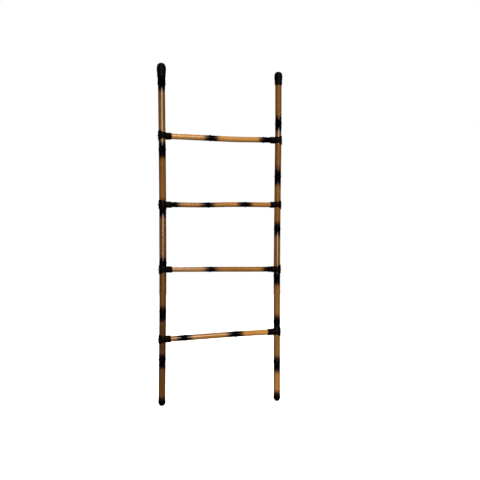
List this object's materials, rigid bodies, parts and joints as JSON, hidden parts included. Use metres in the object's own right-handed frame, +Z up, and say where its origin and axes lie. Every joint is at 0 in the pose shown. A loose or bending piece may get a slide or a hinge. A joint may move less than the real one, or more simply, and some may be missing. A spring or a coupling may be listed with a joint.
{
  "type": "quilt ladder",
  "caption": "Tall bamboo blanket ladder with straight poles as rails, slanting rungs nailed and lashed between them, and wound caps, for hanging quilts.",
  "frame": {"origin": "on the floor, below the middle of the ladder's overall box", "axes": "+Z up along the rails, X across the ladder from rail to rail, -Y towards the front"},
  "size_m": [0.7, 0.0474, 1.83],
  "materials": {
    "rail_bamboo": "satin",
    "rung_bamboo": "satin",
    "dowel_wood": "matte",
    "nail_metal": "satin",
    "black_lace": "satin"
  },
  "bodies": {
    "root": {"left_rail": "rail_bamboo", "left_top_cap": "black_lace", "left_top_plug": "dowel_wood", "right_rail": "rail_bamboo", "right_top_cap": "black_lace", "right_top_plug": "dowel_wood", "rung_1": "rung_bamboo", "rung_1_left_collar": "black_lace", "rung_1_left_lashing": "black_lace", "rung_1_left_dowel": "dowel_wood", "rung_1_left_nail": "nail_metal", "rung_1_right_collar": "black_lace", "rung_1_right_lashing": "black_lace", "rung_1_right_dowel": "dowel_wood", "rung_1_right_nail": "nail_metal", "rung_2": "rung_bamboo", "rung_2_left_collar": "black_lace", "rung_2_left_lashing": "black_lace", "rung_2_left_dowel": "dowel_wood", "rung_2_left_nail": "nail_metal", "rung_2_right_collar": "black_lace", "rung_2_right_lashing": "black_lace", "rung_2_right_dowel": "dowel_wood", "rung_2_right_nail": "nail_metal", "rung_3": "rung_bamboo", "rung_3_left_collar": "black_lace", "rung_3_left_lashing": "black_lace", "rung_3_left_dowel": "dowel_wood", "rung_3_left_nail": "nail_metal", "rung_3_right_collar": "black_lace", "rung_3_right_lashing": "black_lace", "rung_3_right_dowel": "dowel_wood", "rung_3_right_nail": "nail_metal", "rung_4": "rung_bamboo", "rung_4_left_collar": "black_lace", "rung_4_left_lashing": "black_lace", "rung_4_left_dowel": "dowel_wood", "rung_4_left_nail": "nail_metal", "rung_4_right_collar": "black_lace", "rung_4_right_lashing": "black_lace", "rung_4_right_dowel": "dowel_wood", "rung_4_right_nail": "nail_metal"}
  },
  "joints": []
}
